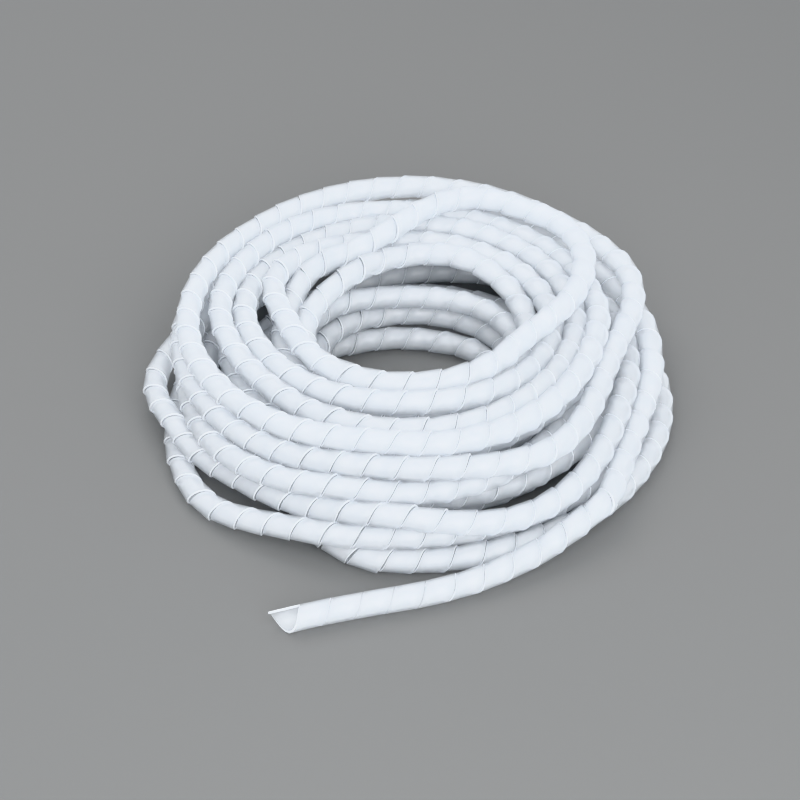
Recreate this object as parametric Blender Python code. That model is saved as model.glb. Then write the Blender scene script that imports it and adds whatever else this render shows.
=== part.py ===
"""Spiral cable wrap: a 10 m coil of natural polyethylene tube with a helical slit.

The wound turns are one turned ring with its bore. Rounded ridges round its section are the turns that
show. The free end that leaves the coil is the true hollow strip: outer diameter, wall, pitch and slit.
Metres, +Z up. The origin is the centre of the whole part's footprint, on the floor.
"""

import math

import bmesh
import bpy
from mathutils import Matrix, Vector

# Tube
TUBE_OD = 0.012
TUBE_WALL = 0.001
SLIT_PITCH = 0.015
SLIT_WIDTH = 0.0008
TIP_ANGLE = math.radians(125)

# Coil
BORE_RADIUS = 0.050
BASE_TURNS = 7
TOP_TURNS = 5
LAYERS = 5
LAYER_RISE = 0.0104
INNER_BATTER = 0.006
BASE_SHIFT = -0.004
TOP_SHIFT = 0.012

# Free end, from its open end to where it sinks among the turns. Each point of its centre line is an angle
# round the coil in degrees, then tube diameters out from the outermost turn and above the floor.
FREE_END = (
    (-110.2, 4.78, 0.50),
    (-104.2, 3.64, 0.50),
    (-96.8, 2.76, 0.50),
    (-88.3, 2.16, 0.50),
    (-80.7, 1.72, 0.54),
    (-73.2, 1.36, 0.67),
    (-65.8, 1.07, 0.83),
    (-59.3, 0.86, 1.05),
    (-51.9, 0.65, 1.27),
    (-44.4, 0.35, 1.42),
    (-38.0, -0.10, 1.50),
    (-32.1, -0.63, 1.50),
)

# Fineness of the facets
RING_STEPS = 56
SIDE_FACETS = 4
STRIP_FACETS = 14
PATH_STEPS = 12

# Natural polyethylene
PLASTIC_COLOUR = (0.80, 0.84, 0.88, 1.0)
PLASTIC_ROUGHNESS = 0.4

TUBE_RADIUS = TUBE_OD / 2


def clear_scene():
    for obj in list(bpy.data.objects):
        bpy.data.objects.remove(obj, do_unlink=True)


def plastic():
    material = bpy.data.materials.new("natural_polyethylene")
    material.use_nodes = True
    shader = material.node_tree.nodes["Principled BSDF"]
    shader.inputs["Base Color"].default_value = PLASTIC_COLOUR
    shader.inputs["Roughness"].default_value = PLASTIC_ROUGHNESS
    return material


def along(start, end, gaps):
    """The points that divide a straight line into equal gaps, without its last one."""
    return [start.lerp(end, i / gaps) for i in range(gaps)]


def section_sides():
    """Centres (radius, height) of the turns that show, side by side: base, outside, top, bore."""
    base_z = TUBE_RADIUS
    top_z = base_z + (LAYERS - 1) * LAYER_RISE
    inner = BORE_RADIUS + TUBE_RADIUS
    foot_in = Vector((inner, base_z))
    foot_out = Vector((inner + (BASE_TURNS - 1) * TUBE_OD, base_z))
    top_in = Vector((inner + INNER_BATTER, top_z))
    top_out = Vector((inner + INNER_BATTER + (TOP_TURNS - 1) * TUBE_OD, top_z))
    layer_gaps = LAYERS - 1
    return (
        along(foot_in, foot_out, BASE_TURNS - 1),
        along(foot_out, top_out, layer_gaps),
        along(top_out, top_in, TOP_TURNS - 1),
        along(top_in, foot_in, layer_gaps),
    )


def groove(first, second):
    """The point where two neighbouring turns meet, on the outside of the section walked anticlockwise."""
    middle = (first + second) / 2
    run = second - first
    depth = math.sqrt(max(TUBE_RADIUS ** 2 - (run.length / 2) ** 2, 0.0))
    outward = Vector((run.y, -run.x)).normalized()
    return middle + outward * depth


def arc(centre, start, end, facets):
    """Points round a turn between two angles, the end points included."""
    points = []
    for i in range(facets + 1):
        angle = start + (end - start) * i / facets
        points.append(centre + TUBE_RADIUS * Vector((math.cos(angle), math.sin(angle))))
    return points


def base_flat(centre):
    """The flat under a turn that the coil rests on, as wide as one side of a hexagon round the tube."""
    half = TUBE_RADIUS * math.tan(math.radians(30))
    return [centre + Vector((-half, -TUBE_RADIUS)), centre + Vector((half, -TUBE_RADIUS))]


def ridge(previous, centre, following):
    """Points on one turn that doesn't rest on the floor, from its first groove up to its last one."""
    first = groove(previous, centre)
    last = groove(centre, following)
    start = math.atan2(first.y - centre.y, first.x - centre.x)
    end = math.atan2(last.y - centre.y, last.x - centre.x)
    if end <= start:
        end += 2 * math.pi
    facets = max(SIDE_FACETS, round(SIDE_FACETS * (end - start) / math.pi))
    return arc(centre, start, end, facets)[:-1]


def corner_side(centre, start, end):
    """The side of a corner turn that stands on the floor."""
    facets = max(2, round(SIDE_FACETS * abs(end - start) / math.pi))
    return arc(centre, start, end, facets)


def section_outline():
    """The closed outline of the coil's section, as (radius, height) points."""
    base, outside, top, bore = section_sides()
    foot_in, foot_out = base[0], outside[0]
    outline = []
    last_inner = groove(bore[-1], foot_in) - foot_in
    outline += corner_side(foot_in, math.atan2(last_inner.y, last_inner.x), math.pi)
    outline += base_flat(foot_in)
    for before, centre in zip(base, base[1:]):
        outline.append(groove(before, centre))
        outline += base_flat(centre)
    outline.append(groove(base[-1], foot_out))
    outline += base_flat(foot_out)
    first_outer = groove(foot_out, outside[1]) - foot_out
    outline += corner_side(foot_out, 0.0, math.atan2(first_outer.y, first_outer.x))[:-1]
    walked = outside + top + bore + [foot_in]
    for before, centre, after in zip(walked, walked[1:], walked[2:]):
        outline += ridge(before, centre, after)
    return outline


def ring_mesh():
    """The wound turns: the section turned round the coil's axis, its upper turns slid back."""
    mesh = bmesh.new()
    points = section_outline()
    verts = [mesh.verts.new((p.x, 0.0, p.y)) for p in points]
    edges = [mesh.edges.new((a, b)) for a, b in zip(verts, verts[1:] + verts[:1])]
    bmesh.ops.spin(mesh, geom=verts + edges, cent=(0, 0, 0), axis=(0, 0, 1), angle=2 * math.pi,
                   steps=RING_STEPS, use_merge=True)
    bmesh.ops.recalc_face_normals(mesh, faces=mesh.faces)
    height = TUBE_OD + (LAYERS - 1) * LAYER_RISE
    slide = Matrix.Identity(4)
    slide[1][2] = (TOP_SHIFT - BASE_SHIFT) / height
    bmesh.ops.transform(mesh, matrix=Matrix.Translation((0, BASE_SHIFT, 0)) @ slide, verts=mesh.verts)
    return mesh


def free_end_points():
    """The free end's points, placed from the outermost turn on the floor."""
    outermost = BORE_RADIUS + TUBE_RADIUS + (BASE_TURNS - 1) * TUBE_OD
    points = []
    for degrees, out, up in FREE_END:
        angle = math.radians(degrees)
        radius = outermost + out * TUBE_OD
        points.append(Vector((radius * math.cos(angle), radius * math.sin(angle), up * TUBE_OD)))
    return points


def smooth_path(points):
    """A smooth curve through the points, with its length so far at each step."""
    ends = [2 * points[0] - points[1]] + points + [2 * points[-1] - points[-2]]
    curve = []
    for a, b, c, d in zip(ends, ends[1:], ends[2:], ends[3:]):
        for i in range(PATH_STEPS):
            t = i / PATH_STEPS
            curve.append(0.5 * (2 * b + (c - a) * t + (2 * a - 5 * b + 4 * c - d) * t * t
                                + (3 * b - a - 3 * c + d) * t ** 3))
    curve.append(points[-1])
    lengths = [0.0]
    for a, b in zip(curve, curve[1:]):
        lengths.append(lengths[-1] + (b - a).length)
    return curve, lengths


def frame_at(curve, lengths, distance):
    """Centre, side and up directions of the tube at a distance along its centre line."""
    i = 0
    while i < len(lengths) - 2 and lengths[i + 1] < distance:
        i += 1
    share = (distance - lengths[i]) / (lengths[i + 1] - lengths[i])
    before = curve[max(i - 1, 0)]
    after = curve[min(i + 2, len(curve) - 1)]
    ahead = (after - before).normalized()
    side = ahead.cross(Vector((0, 0, 1))).normalized()
    return curve[i].lerp(curve[i + 1], share), side, side.cross(ahead)


def strip_corners(curve, lengths, turn):
    """The four corners of the strip's section, a number of turns round the tube from its tip."""
    near = turn * SLIT_PITCH
    far = near + SLIT_PITCH - SLIT_WIDTH
    angle = TIP_ANGLE + 2 * math.pi * turn
    corners = []
    for distance, radius in ((near, TUBE_RADIUS), (far, TUBE_RADIUS),
                             (far, TUBE_RADIUS - TUBE_WALL), (near, TUBE_RADIUS - TUBE_WALL)):
        centre, side, up = frame_at(curve, lengths, distance)
        corners.append(centre + radius * (math.cos(angle) * side + math.sin(angle) * up))
    return corners


def strip_mesh():
    """The free end: one helical strip, cut straight across its own width at the tip."""
    mesh = bmesh.new()
    curve, lengths = smooth_path(free_end_points())
    steps = int(STRIP_FACETS * (lengths[-1] / SLIT_PITCH - 1))
    rings = []
    for i in range(steps + 1):
        corners = strip_corners(curve, lengths, i / STRIP_FACETS)
        rings.append([mesh.verts.new(c) for c in corners])
    for ring, following in zip(rings, rings[1:]):
        for j in range(4):
            k = (j + 1) % 4
            mesh.faces.new((ring[j], ring[k], following[k], following[j]))
    mesh.faces.new(rings[0][::-1])
    mesh.faces.new(rings[-1])
    bmesh.ops.recalc_face_normals(mesh, faces=mesh.faces)
    return mesh


def centre_on_floor(meshes):
    """Move the part so that the centre of its footprint is the origin."""
    points = [v.co for mesh in meshes for v in mesh.verts]
    for axis in (0, 1):
        values = [p[axis] for p in points]
        middle = (min(values) + max(values)) / 2
        for point in points:
            point[axis] -= middle


def new_object(name, mesh, material):
    data = bpy.data.meshes.new(name)
    mesh.to_mesh(data)
    mesh.free()
    data.materials.append(material)
    data.shade_smooth()
    data.set_sharp_from_angle(angle=math.radians(50))
    obj = bpy.data.objects.new(name, data)
    bpy.context.scene.collection.objects.link(obj)
    return obj


def main():
    clear_scene()
    ring = ring_mesh()
    strip = strip_mesh()
    centre_on_floor((ring, strip))
    material = plastic()
    wrap = new_object("spiral_wrap", ring, material)
    free_end = new_object("free_end", strip, material)
    free_end.hide_render = True
    free_end.display_type = "WIRE"
    union = wrap.modifiers.new("free_end_joined", "BOOLEAN")
    union.operation = "UNION"
    union.solver = "EXACT"
    union.object = free_end


main()
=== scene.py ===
import math

import bmesh
import bpy
import numpy as np
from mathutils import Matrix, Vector


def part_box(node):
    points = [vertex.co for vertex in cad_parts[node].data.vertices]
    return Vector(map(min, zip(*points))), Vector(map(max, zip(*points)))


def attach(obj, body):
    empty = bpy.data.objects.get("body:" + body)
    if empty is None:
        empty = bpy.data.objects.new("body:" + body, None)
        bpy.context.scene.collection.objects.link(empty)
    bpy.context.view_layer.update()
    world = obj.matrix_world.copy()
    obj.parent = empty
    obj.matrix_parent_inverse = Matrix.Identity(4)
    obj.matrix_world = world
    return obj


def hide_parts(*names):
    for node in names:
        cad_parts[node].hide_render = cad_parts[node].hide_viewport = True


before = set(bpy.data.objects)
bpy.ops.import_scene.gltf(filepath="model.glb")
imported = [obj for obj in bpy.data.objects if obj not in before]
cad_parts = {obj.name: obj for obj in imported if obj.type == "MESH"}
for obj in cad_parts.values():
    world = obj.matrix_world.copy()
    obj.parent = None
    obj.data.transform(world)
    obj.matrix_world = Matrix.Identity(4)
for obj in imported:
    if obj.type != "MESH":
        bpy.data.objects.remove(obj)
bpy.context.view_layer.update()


# Camera

camera = {
    "lookAt": (-5.2, 0.0, 0.0),   # millimetres from the coil's axis, on the floor
    "elevation": 38.0,            # degrees above the floor
    "distance": 1100.0,           # millimetres
    "lens": 94.9,                 # millimetres
    "sensor": 36.0,               # millimetres wide
}


def addCamera(axisY):
    lift = math.radians(camera["elevation"])
    target = Vector(camera["lookAt"]) / 1000 + Vector((0, axisY, 0))
    away = Vector((0, -math.cos(lift), math.sin(lift))) * camera["distance"] / 1000
    data = bpy.data.cameras.new("camera")
    data.lens = camera["lens"]
    data.sensor_width = camera["sensor"]
    obj = bpy.data.objects.new("camera", data)
    obj.location = target + away
    obj.rotation_euler = (-away).to_track_quat("-Z", "Y").to_euler()
    bpy.context.scene.collection.objects.link(obj)
    bpy.context.scene.camera = obj


# Route of the wrap: first the free end, then turn after turn into the coil. Lengths in millimetres.

coil = {
    "diameter": 12.0,             # outside of the tube
    "length": 10000.0,
    "backReach": 131.8,           # from the coil's axis to its back
    "outermost": 128.0,           # radius of the outermost turn on the floor
    "startAngle": -32.0,          # where the free end sinks among the turns
    "lastAngle": 6130.0,          # where the hidden end stops
    "angleStep": 3.75,            # degrees between the points of the rough route
    "overlap": 3,                 # first points of the turns, left to the free end's own points
    "floorShift": -4.0,           # how far back the turns on the floor stand, so 4 to the front
    "topShift": 12.0,             # and how far back the turns on top stand
    "height": 53.6,
    "wanderAcross": 2.0,          # how far the turns stray from their circles
    "wanderUp": 1.3,
    "wanderGap": 90.0,            # degrees from one stray to the next
    "wanderRounding": 27,         # points of the rough route over which it is evened out, an odd number
    "offCentre": 1.5,             # how far each turn's centre strays
    "seed": 7,
}

# The free end, as in the solid model: angle round the coil in degrees, tube diameters out from the
# outermost turn, and tube diameters above the floor.
freeEnd = (
    (-110.2, 4.78, 0.50),
    (-104.2, 3.64, 0.50),
    (-96.8, 2.76, 0.50),
    (-88.3, 2.16, 0.50),
    (-80.7, 1.72, 0.54),
    (-73.2, 1.36, 0.67),
    (-65.8, 1.07, 0.83),
    (-59.3, 0.86, 1.05),
    (-51.9, 0.65, 1.27),
    (-44.4, 0.35, 1.42),
)

# Each turn: radius, height, then the angle about which it hands over to the next one, and over how
# many degrees. Angles go on counting from turn to turn.
turns = (
    (121, 18, 2, 95),             # carries on from the free end, outside
    (116, 36, 380, 120),
    (113, 49, 610, 120),          # across the top, from the outside in
    (98, 48, 880, 120),
    (86, 48, 1290, 120),
    (73, 48, 1590, 90),
    (63.3, 50, 1950, 130),        # the loose loop on top, round the rim of the bore
    (60, 38, 2460, 100),          # down the bore
    (58, 28, 2580, 100),
    (56, 17, 3080, 100),
    (53, 6, 3440, 90),
    (74, 20, 3600, 100),          # inside the coil
    (104, 20, 4050, 100),
    (90, 8, 4560, 50),
    (130, 6, 4915, 40),           # outermost, on the floor
    (121, 17, 5290, 60),
    (118, 26, 5700, 120),
    (92, 35, 0, 0),               # the last turn, inside the coil
)

# Where a turn leaves its circle: angle, degrees to each side, and how far it goes out and up.
bulges = (
    (-22, 30, -3, -2),
    (10, 40, 3, 3),
    (270, 70, 1, 6),
    (342, 45, -17, 8),
    (388, 42, 7, -5),
    (455, 50, 5, 1),
    (630, 70, 11, -2),
    (850, 60, 0, 2),
    (905, 40, 4, 2),
    (990, 80, 13, 2),
    (1270, 50, 2, 2),
    (1350, 70, -2, 2),
    (1595, 45, 10, 0),
    (1840, 77, 39, 2),            # the loop swings out over the other turns and comes back across them
    (1874, 26, 10, 0),
    (1940, 30, 5, 2),
    (2225, 75, 4, 9),             # crosses over the back of the bore
    (2292, 60, -11, 11),
    (2345, 40, 0, 3),
    (3285, 40, 4, 0),
    (3330, 30, 1, 0),
    (3375, 40, 4, 0),
    (4590, 40, -4, 0),
    (4660, 50, 2, 3),
    (4850, 60, -19, 0),           # slips in under the turn above, then out again
    (4900, 42, -3, 0),
    (4945, 45, 4, 3),
    (5222, 22, 8, -3),            # hangs out on the left
    (5244, 26, 2, -1),
    (5268, 30, -4, 1),
    (5300, 50, 3, 1),
    (5338, 48, 8, -8),
    (5592, 34, -4, 0),
    (5670, 80, 6, 6),
)


def easeIn(share):
    share = np.clip(share, 0, 1)
    return share * share * (3 - 2 * share)


def smoothed(values, width, edges):
    # A weighted mean over an odd number of neighbours.
    kernel = np.hanning(width)
    padded = np.pad(values, width // 2, **edges)
    return np.convolve(padded, kernel / kernel.sum(), mode="valid")


def shiftAt(height):
    return coil["floorShift"] + (coil["topShift"] - coil["floorShift"]) * height / coil["height"]


def softNoise(rng, angles, knotGap):
    # Seeded values that change smoothly along the turns.
    knots = np.arange(angles[0], angles[-1] + 2 * knotGap, knotGap)
    values = np.interp(angles, knots, rng.normal(0, 1, len(knots)))
    return smoothed(values, coil["wanderRounding"], {"mode": "edge"})


def freeEndPoints():
    points = []
    for degrees, out, up in freeEnd:
        angle = math.radians(degrees)
        reach = coil["outermost"] + out * coil["diameter"]
        points.append((reach * math.cos(angle), reach * math.sin(angle), up * coil["diameter"]))
    return np.array(points)


def roughRoute():
    rng = np.random.default_rng(coil["seed"])
    angles = np.arange(coil["startAngle"], coil["lastAngle"], coil["angleStep"])
    radius = np.full(len(angles), float(turns[0][0]))
    height = np.full(len(angles), float(turns[0][1]))
    centreX = np.zeros(len(angles))
    centreY = np.zeros(len(angles))
    lastCentre = np.zeros(2)
    for turn, following in zip(turns, turns[1:]):
        handOver = easeIn((angles - turn[2]) / turn[3] + 0.5)
        radius += (following[0] - turn[0]) * handOver
        height += (following[1] - turn[1]) * handOver
        centre = rng.normal(0, coil["offCentre"], 2)
        centreX += (centre[0] - lastCentre[0]) * handOver
        centreY += (centre[1] - lastCentre[1]) * handOver
        lastCentre = centre
    radius += coil["wanderAcross"] * softNoise(rng, angles, coil["wanderGap"])
    height += coil["wanderUp"] * np.abs(softNoise(rng, angles, coil["wanderGap"]))
    for angle, reach, out, up in bulges:
        share = easeIn(1 - np.abs(angles - angle) / reach)
        radius += out * share
        height += up * share
    around = np.radians(angles)
    x = radius * np.cos(around) + centreX
    y = radius * np.sin(around) + centreY + shiftAt(height)
    wound = np.stack([x, y, height], -1)
    return np.concatenate([freeEndPoints(), wound[coil["overlap"]:]])


def evenly(points, gap):
    # A smooth curve through the points, with points at an even distance along it.
    parts = 12                    # from one given point to the next
    ends = np.concatenate([[2 * points[0] - points[1]], points, [2 * points[-1] - points[-2]]])
    a, b, c, d = (ends[i:len(ends) - 3 + i][:, None, :] for i in range(4))
    t = (np.arange(parts) / parts)[None, :, None]
    curve = 0.5 * (2 * b + (c - a) * t + (2 * a - 5 * b + 4 * c - d) * t ** 2
                   + (3 * b - a - 3 * c + d) * t ** 3)
    curve = np.concatenate([curve.reshape(-1, 3), points[-1:]])
    lengths = np.concatenate([[0], np.cumsum(np.linalg.norm(np.diff(curve, axis=0), axis=1))])
    at = np.linspace(0, lengths[-1], int(round(lengths[-1] / gap)) + 1)
    return np.stack([np.interp(at, lengths, curve[:, i]) for i in range(3)], -1)


def nearPairs(points, reach, apart):
    # Points of the route that lie near each other and aren't neighbours along it.
    first, second = [], []
    for i in range(len(points) - apart):
        away = points[i + apart:] - points[i]
        near = np.nonzero((away * away).sum(1) < reach * reach)[0]
        first.append(np.full(len(near), i))
        second.append(near + i + apart)
    return np.concatenate(first), np.concatenate(second)


settling = {
    "rounds": 160,
    "sinking": 0.03,              # millimetres in a round, at first
    "smoothing": 0.5,             # share of the way to the mean of both neighbours
    "smoothings": 2,              # in a round
    "pointGap": 5.6,              # millimetres between the points of the route
    "neighbours": 5,              # points along the route that don't push each other
    "lookRounds": 8,              # rounds before near points are looked for again
    "lookReach": 8.0,             # how far past a diameter they are looked for
    "push": 1.4,                  # share of an overlap that is undone in a round
}


def settle(route):
    # The turns sink a little and push each other apart until none lies in another.
    diameter = coil["diameter"]
    start = route.copy()
    points = route.copy()
    for roundNumber in range(settling["rounds"]):
        if roundNumber % settling["lookRounds"] == 0:
            first, second = nearPairs(points, diameter + settling["lookReach"], settling["neighbours"])
        points[:, 2] -= settling["sinking"] * (1 - roundNumber / settling["rounds"])
        moved = points - start
        for _ in range(settling["smoothings"]):
            middle = moved.copy()
            middle[1:-1] = 0.5 * (moved[:-2] + moved[2:])
            moved += settling["smoothing"] * (middle - moved)
        points = start + moved
        between = points[second] - points[first]
        distance = np.linalg.norm(between, axis=1)
        hit = distance < diameter
        push = between[hit] / distance[hit][:, None] * (diameter - distance[hit])[:, None] / 2
        total = np.zeros_like(points)
        count = np.zeros(len(points))
        np.add.at(total, first[hit], -push)
        np.add.at(total, second[hit], push)
        np.add.at(count, first[hit], 1)
        np.add.at(count, second[hit], 1)
        points += total / np.maximum(count, 1)[:, None] * settling["push"]
        points[:, 2] = np.maximum(points[:, 2], diameter / 2)
    return points


# The slit tube, made straight and then bent along the route. Lengths in millimetres.

strip = {
    "wall": 1.0,
    "pitch": 15.0,
    "slit": 0.4,                  # at the tube's middle
    "leastSlit": 0.08,            # where a bend closes the slit
    "creep": 0.5,                 # share of a bend that the plastic has taken up over time
    "rim": 0.2,                   # rounding of the cut edges
    "flare": 0.30,                # how far one edge stands out, and the other in
    "flareVaries": (0.4, 1.6),    # times that, from place to place
    "unevenness": 0.12,           # how far the tube strays from round
    "unevenGap": 0.5,             # windings from one change of flare and roundness to the next
    "steps": 16,                  # facets round the tube
    "tipAngle": 125.0,            # degrees round the tube, where the strip is cut off
    "closedEnd": 80.0,            # length at the free end whose slits are almost closed
    "tipEvenness": 0.7,           # share of the flare and unevenness that this end lacks
    "rounding": 21,               # millimetres of the route over which bends are evened, an odd number
    "mergeGap": 0.001,
    "pathGap": 8,                 # millimetres between the points of the path that buildWrap returns
}
stripWidth = strip["pitch"] - strip["slit"]


def stripSection():
    # The strip's section as (along the tube, radius), its rims rounded.
    half = stripWidth / 2
    outer = coil["diameter"] / 2
    inner = outer - strip["wall"]
    rim = strip["rim"]
    middle = (outer + inner) / 2
    return ((-half, middle), (-half + rim, outer), (-half / 3, outer), (half / 3, outer),
            (half - rim, outer), (half, middle), (half - rim, inner), (-half + rim, inner))


def sortByPoints(mesh):
    # A spin leaves edges and faces in no fixed order, so they are sorted by the points at their corners.
    mesh.verts.index_update()
    base = len(mesh.verts)

    def place(part):
        corners = sorted(v.index for v in part.verts)
        return sum(corner * base ** digit for digit, corner in enumerate(corners))

    mesh.edges.sort(key=place)
    mesh.faces.sort(key=place)


def straightStrip(windings):
    # One winding of the strip is spun, then doubled until there are enough.
    mesh = bmesh.new()
    tip = math.radians(strip["tipAngle"])
    verts = [mesh.verts.new((stripWidth / 2 + along, radius * math.cos(tip), radius * math.sin(tip)))
             for along, radius in stripSection()]
    edges = [mesh.edges.new((a, b)) for a, b in zip(verts, verts[1:] + verts[:1])]
    bmesh.ops.spin(mesh, geom=verts + edges, cent=(0, 0, 0), axis=(1, 0, 0), angle=2 * math.pi,
                   dvec=(strip["pitch"] / strip["steps"], 0, 0), steps=strip["steps"])
    sortByPoints(mesh)
    made = 1
    while made < windings:
        copy = bmesh.ops.duplicate(mesh, geom=mesh.verts[:] + mesh.edges[:] + mesh.faces[:])
        copied = [item for item in copy["geom"] if isinstance(item, bmesh.types.BMVert)]
        bmesh.ops.translate(mesh, verts=copied, vec=(made * strip["pitch"], 0, 0))
        bmesh.ops.remove_doubles(mesh, verts=mesh.verts, dist=strip["mergeGap"])
        made *= 2
    return mesh


def windingOf(mesh):
    # For each point of the straight strip: windings from the tip, and millimetres from its middle.
    x, y, z = np.array([v.co for v in mesh.verts]).T
    part = ((np.arctan2(z, y) - math.radians(strip["tipAngle"])) / (2 * math.pi)) % 1.0
    whole = np.round((x - stripWidth / 2) / strip["pitch"] - part)
    winding = whole + part
    return winding, x - stripWidth / 2 - winding * strip["pitch"]


def framesAlong(route):
    # Centre, direction, side and up of the tube for every millimetre of the route, and how it curves.
    centres = evenly(route, 1.0)
    edges = {"mode": "reflect", "reflect_type": "odd"}
    rounded = np.stack([smoothed(centres[:, i], strip["rounding"], edges) for i in range(3)], -1)
    rounded[:, 2] = np.maximum(rounded[:, 2], coil["diameter"] / 2 + strip["flare"])
    ahead = np.gradient(rounded, axis=0)
    ahead /= np.linalg.norm(ahead, axis=1)[:, None]
    side = np.cross(ahead, (0, 0, 1))
    side /= np.linalg.norm(side, axis=1)[:, None]
    up = np.cross(side, ahead)
    bend = np.gradient(ahead, axis=0)
    return rounded, ahead, side, up, bend


def lookUp(values, at):
    place = np.arange(len(values))
    return np.stack([np.interp(at, place, values[:, i]) for i in range(3)], -1)


def bendStrip(mesh, frames, winding, across):
    # The strip stays flat across its width, so the slits open on the outside of a bend.
    at = stripWidth / 2 + winding * strip["pitch"]
    centre, ahead, side, up, bend = (lookUp(values, at) for values in frames)
    angle = math.radians(strip["tipAngle"]) + 2 * math.pi * winding
    outward = np.cos(angle)[:, None] * side + np.sin(angle)[:, None] * up

    squeeze = (outward * bend).sum(1) * coil["diameter"] / 2
    room = strip["pitch"] * (1 - squeeze) - strip["leastSlit"]
    closing = easeIn(1.5 - 0.75 * at / strip["closedEnd"])    # slits open fully at twice this length
    closed = stripWidth + closing * (strip["slit"] - 2 * strip["leastSlit"])
    wanted = closed * (1 - strip["creep"] * squeeze)
    across = across * np.minimum(room, wanted) / stripWidth

    rng = np.random.default_rng(coil["seed"] + 1)
    knots = np.arange(0, winding.max() + 2, strip["unevenGap"])
    uneven = np.interp(winding, knots, rng.normal(0, strip["unevenness"], len(knots)))
    tilt = strip["flare"] * np.interp(winding, knots, rng.uniform(*strip["flareVaries"], len(knots)))
    standsOut = uneven + tilt * (1 - closing) * across / (stripWidth / 2)
    radius = np.hypot(*np.array([v.co for v in mesh.verts]).T[1:])
    radius += standsOut * (1 - strip["tipEvenness"] * closing)

    bent = centre + ahead * across[:, None] + outward * radius[:, None]
    bent[:, 2] = np.maximum(bent[:, 2], 0)
    return bent, at, across


def dressFaces(mesh, at, winding, across, bentAcross):
    # A UV map that follows the tube, and the cut rims' own finish where the slits are open.
    layer = mesh.loops.layers.uv.new("alongStrip")
    girth = math.pi * coil["diameter"] / 1000
    alongTube = (at + bentAcross) / 1000
    cut = stripWidth / 2 - strip["rim"]
    mesh.verts.index_update()
    for face in mesh.faces:
        first = face.verts[0].index
        offMiddle = abs(sum(across[v.index] for v in face.verts)) / len(face.verts)
        slitShows = winding[first] < 1 or at[first] > strip["closedEnd"]
        if offMiddle > cut and slitShows:
            face.material_index = 1
        for loop in face.loops:
            i = loop.vert.index
            loop[layer].uv = (alongTube[i], winding[i] * girth)


def buildWrap(axisY, slitPlastic, cutPlastic):
    route = settle(evenly(roughRoute(), settling["pointGap"]))
    frames = framesAlong(route)
    centres = frames[0]
    print("settled", len(route), "points,", round(len(centres) / 1000, 2), "m")

    windings = int((len(centres) - strip["pitch"]) / strip["pitch"])
    mesh = straightStrip(windings)
    lastWinding = windings + 0.5 / strip["steps"]
    tooFar = [v for v, winding in zip(mesh.verts, windingOf(mesh)[0]) if winding > lastWinding]
    bmesh.ops.delete(mesh, geom=tooFar, context="VERTS")
    print("straight strip", len(mesh.verts), "points")

    standing = np.array((0, axisY, 0))
    winding, across = windingOf(mesh)
    bent, at, bentAcross = bendStrip(mesh, frames, winding, across)
    for vert, place in zip(mesh.verts, bent / 1000 + standing):
        vert.co = place
    dressFaces(mesh, at, winding, across, bentAcross)
    openEnds = [edge for edge in mesh.edges if edge.is_boundary]
    bmesh.ops.holes_fill(mesh, edges=openEnds, sides=0)
    bmesh.ops.recalc_face_normals(mesh, faces=mesh.faces)

    data = bpy.data.meshes.new("spiralWrap")
    mesh.to_mesh(data)
    mesh.free()
    data.shade_smooth()
    data.materials.append(slitPlastic)
    data.materials.append(cutPlastic)
    obj = bpy.data.objects.new("spiralWrap", data)
    bpy.context.scene.collection.objects.link(obj)
    print("wrap", len(data.polygons), "faces")
    return obj, centres[::strip["pathGap"]] / 1000 + standing


# Materials

def linearColour(code):
    channels = [int(code[i:i + 2], 16) / 255 for i in (1, 3, 5)]
    linear = [c / 12.92 if c <= 0.04045 else ((c + 0.055) / 1.055) ** 2.4 for c in channels]
    return (*linear, 1.0)


def addNode(tree, kind, settings=None, links=None):
    node = tree.nodes.new(kind)
    for name, value in (settings or {}).items():
        if name in node.inputs:
            node.inputs[name].default_value = value
        else:
            setattr(node, name, value)
    for name, source in (links or {}).items():
        tree.links.new(source, node.inputs[name])
    return node


wrapFinish = {
    "milky": "#F0F4F9",
    "thin": "#DDE5EE",
    "cloudSize": 9.0,             # millimetres
    "dieLineGap": 0.9,            # millimetres round the tube
    "dieLineRun": 40.0,           # millimetres along the tube
    "dieLineDepth": 0.1,          # millimetres, deeper than the real lines so that they show
    "dieLineStrength": 0.25,
    "roughness": (0.28, 0.40),
    "ior": 1.51,
    "clear": 0.72,                # share of the light that passes straight through a wall's face
    "clearEdge": 0.24,            # and through a cut edge's face, where the eye looks along the wall
    "gloss": 1.0,
    "spread": 0.4,                # share of the rest that spreads inside
    "depth": 3.0,                 # millimetres that light spreads inside
}


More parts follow.
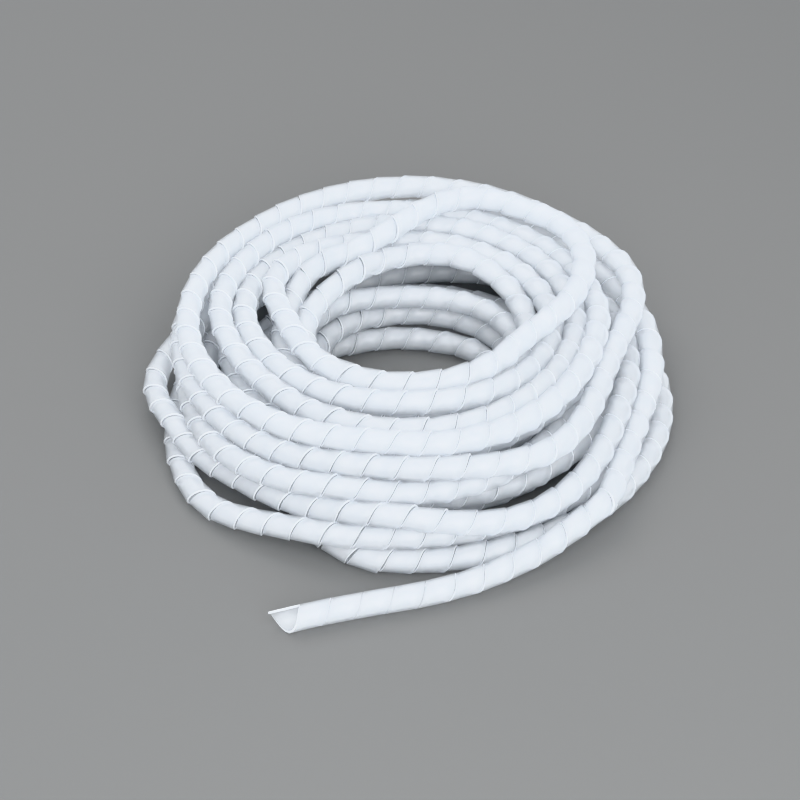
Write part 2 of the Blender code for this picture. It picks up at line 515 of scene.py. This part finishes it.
def naturalPolyethylene(name, clear):
    # Natural LDPE, extruded as a tube and slit: milky, see-through where it is one wall thick, with a
    # waxy gloss and faint die lines along the tube.
    material = bpy.data.materials.new(name)
    material.use_nodes = True
    tree = material.node_tree
    shader = tree.nodes["Principled BSDF"]
    place = addNode(tree, "ShaderNodeTexCoord")

    clouds = addNode(tree, "ShaderNodeTexNoise",
                     {"Scale": 1000 / wrapFinish["cloudSize"], "Detail": 3.0},
                     {"Vector": place.outputs["Object"]})
    tint = addNode(tree, "ShaderNodeMix", {"data_type": "RGBA"}, {"Factor": clouds.outputs["Fac"]})
    tint.inputs[6].default_value = linearColour(wrapFinish["thin"])       # 6 and 7 are its two colours
    tint.inputs[7].default_value = linearColour(wrapFinish["milky"])
    tree.links.new(tint.outputs[2], shader.inputs["Base Color"])

    low, high = wrapFinish["roughness"]
    rough = addNode(tree, "ShaderNodeMapRange", {"To Min": low, "To Max": high},
                    {"Value": clouds.outputs["Fac"]})
    tree.links.new(rough.outputs["Result"], shader.inputs["Roughness"])

    linesPerMetre = (1000 / wrapFinish["dieLineRun"], 1000 / wrapFinish["dieLineGap"], 1.0)
    stretched = addNode(tree, "ShaderNodeMapping", {"Scale": linesPerMetre},
                        {"Vector": place.outputs["UV"]})
    dieLines = addNode(tree, "ShaderNodeTexNoise", {"Scale": 1.0, "Detail": 2.0},
                       {"Vector": stretched.outputs["Vector"]})
    depth = wrapFinish["dieLineDepth"] / 1000
    bump = addNode(tree, "ShaderNodeBump",
                   {"Strength": wrapFinish["dieLineStrength"], "Distance": depth},
                   {"Height": dieLines.outputs["Fac"]})
    tree.links.new(bump.outputs["Normal"], shader.inputs["Normal"])

    shader.inputs["IOR"].default_value = wrapFinish["ior"]
    shader.inputs["Specular IOR Level"].default_value = wrapFinish["gloss"]
    shader.inputs["Subsurface Weight"].default_value = wrapFinish["spread"]
    shader.inputs["Subsurface Radius"].default_value = (1.0, 1.0, 1.0)
    shader.inputs["Subsurface Scale"].default_value = wrapFinish["depth"] / 1000
    shader.inputs["Alpha"].default_value = 1 - clear
    return material


# Floor and light

studio = {
    "floor": "#656666",
    "floorRoughness": (0.75, 0.85),
    "floorSize": 3.0,             # metres
    "key": (11.5, (-0.35, 0.55, 1.25), 1.1),      # watts, place in metres, size in metres
    "fill": (41.0, (0.25, -1.2, 0.95), 1.6),
    "sky": ("#F2F3F5", 1.14),
    "lit": (0.0, 0.0, 0.02),      # where both lights point
}


def paperFloor():
    # Matt backdrop paper: one even colour, a very faint cloudiness in its sheen.
    material = bpy.data.materials.new("backdropPaper")
    material.use_nodes = True
    tree = material.node_tree
    shader = tree.nodes["Principled BSDF"]
    place = addNode(tree, "ShaderNodeTexCoord")
    clouds = addNode(tree, "ShaderNodeTexNoise", {"Scale": 3.0}, {"Vector": place.outputs["Object"]})
    low, high = studio["floorRoughness"]
    rough = addNode(tree, "ShaderNodeMapRange", {"To Min": low, "To Max": high},
                    {"Value": clouds.outputs["Fac"]})
    tree.links.new(rough.outputs["Result"], shader.inputs["Roughness"])
    shader.inputs["Base Color"].default_value = linearColour(studio["floor"])

    mesh = bmesh.new()
    bmesh.ops.create_grid(mesh, x_segments=1, y_segments=1, size=studio["floorSize"] / 2)
    data = bpy.data.meshes.new("floor")
    mesh.to_mesh(data)
    mesh.free()
    data.materials.append(material)
    floor = bpy.data.objects.new("floor", data)
    bpy.context.scene.collection.objects.link(floor)


def softBox(name, watts, place, size):
    light = bpy.data.lights.new(name, "AREA")
    light.energy = watts
    light.size = size
    obj = bpy.data.objects.new(name, light)
    obj.location = place
    obj.rotation_euler = (Vector(studio["lit"]) - Vector(place)).to_track_quat("-Z", "Y").to_euler()
    bpy.context.scene.collection.objects.link(obj)


def lightStudio():
    softBox("key", *studio["key"])
    softBox("fill", *studio["fill"])
    colour, strength = studio["sky"]
    world = bpy.data.worlds.new("studio")
    world.use_nodes = True
    background = world.node_tree.nodes["Background"]
    background.inputs["Color"].default_value = linearColour(colour)
    background.inputs["Strength"].default_value = strength
    bpy.context.scene.world = world
    bpy.context.scene.view_settings.view_transform = "Khronos PBR Neutral"


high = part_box("spiral_wrap")[1]
axisY = high.y - coil["backReach"] / 1000
addCamera(axisY)
wrap, wrapPath = buildWrap(axisY, naturalPolyethylene("naturalPolyethylene", wrapFinish["clear"]),
                           naturalPolyethylene("cutPolyethylene", wrapFinish["clearEdge"]))
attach(wrap, "root")
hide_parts("spiral_wrap")
paperFloor()
lightStudio()
print("floor and light ready")
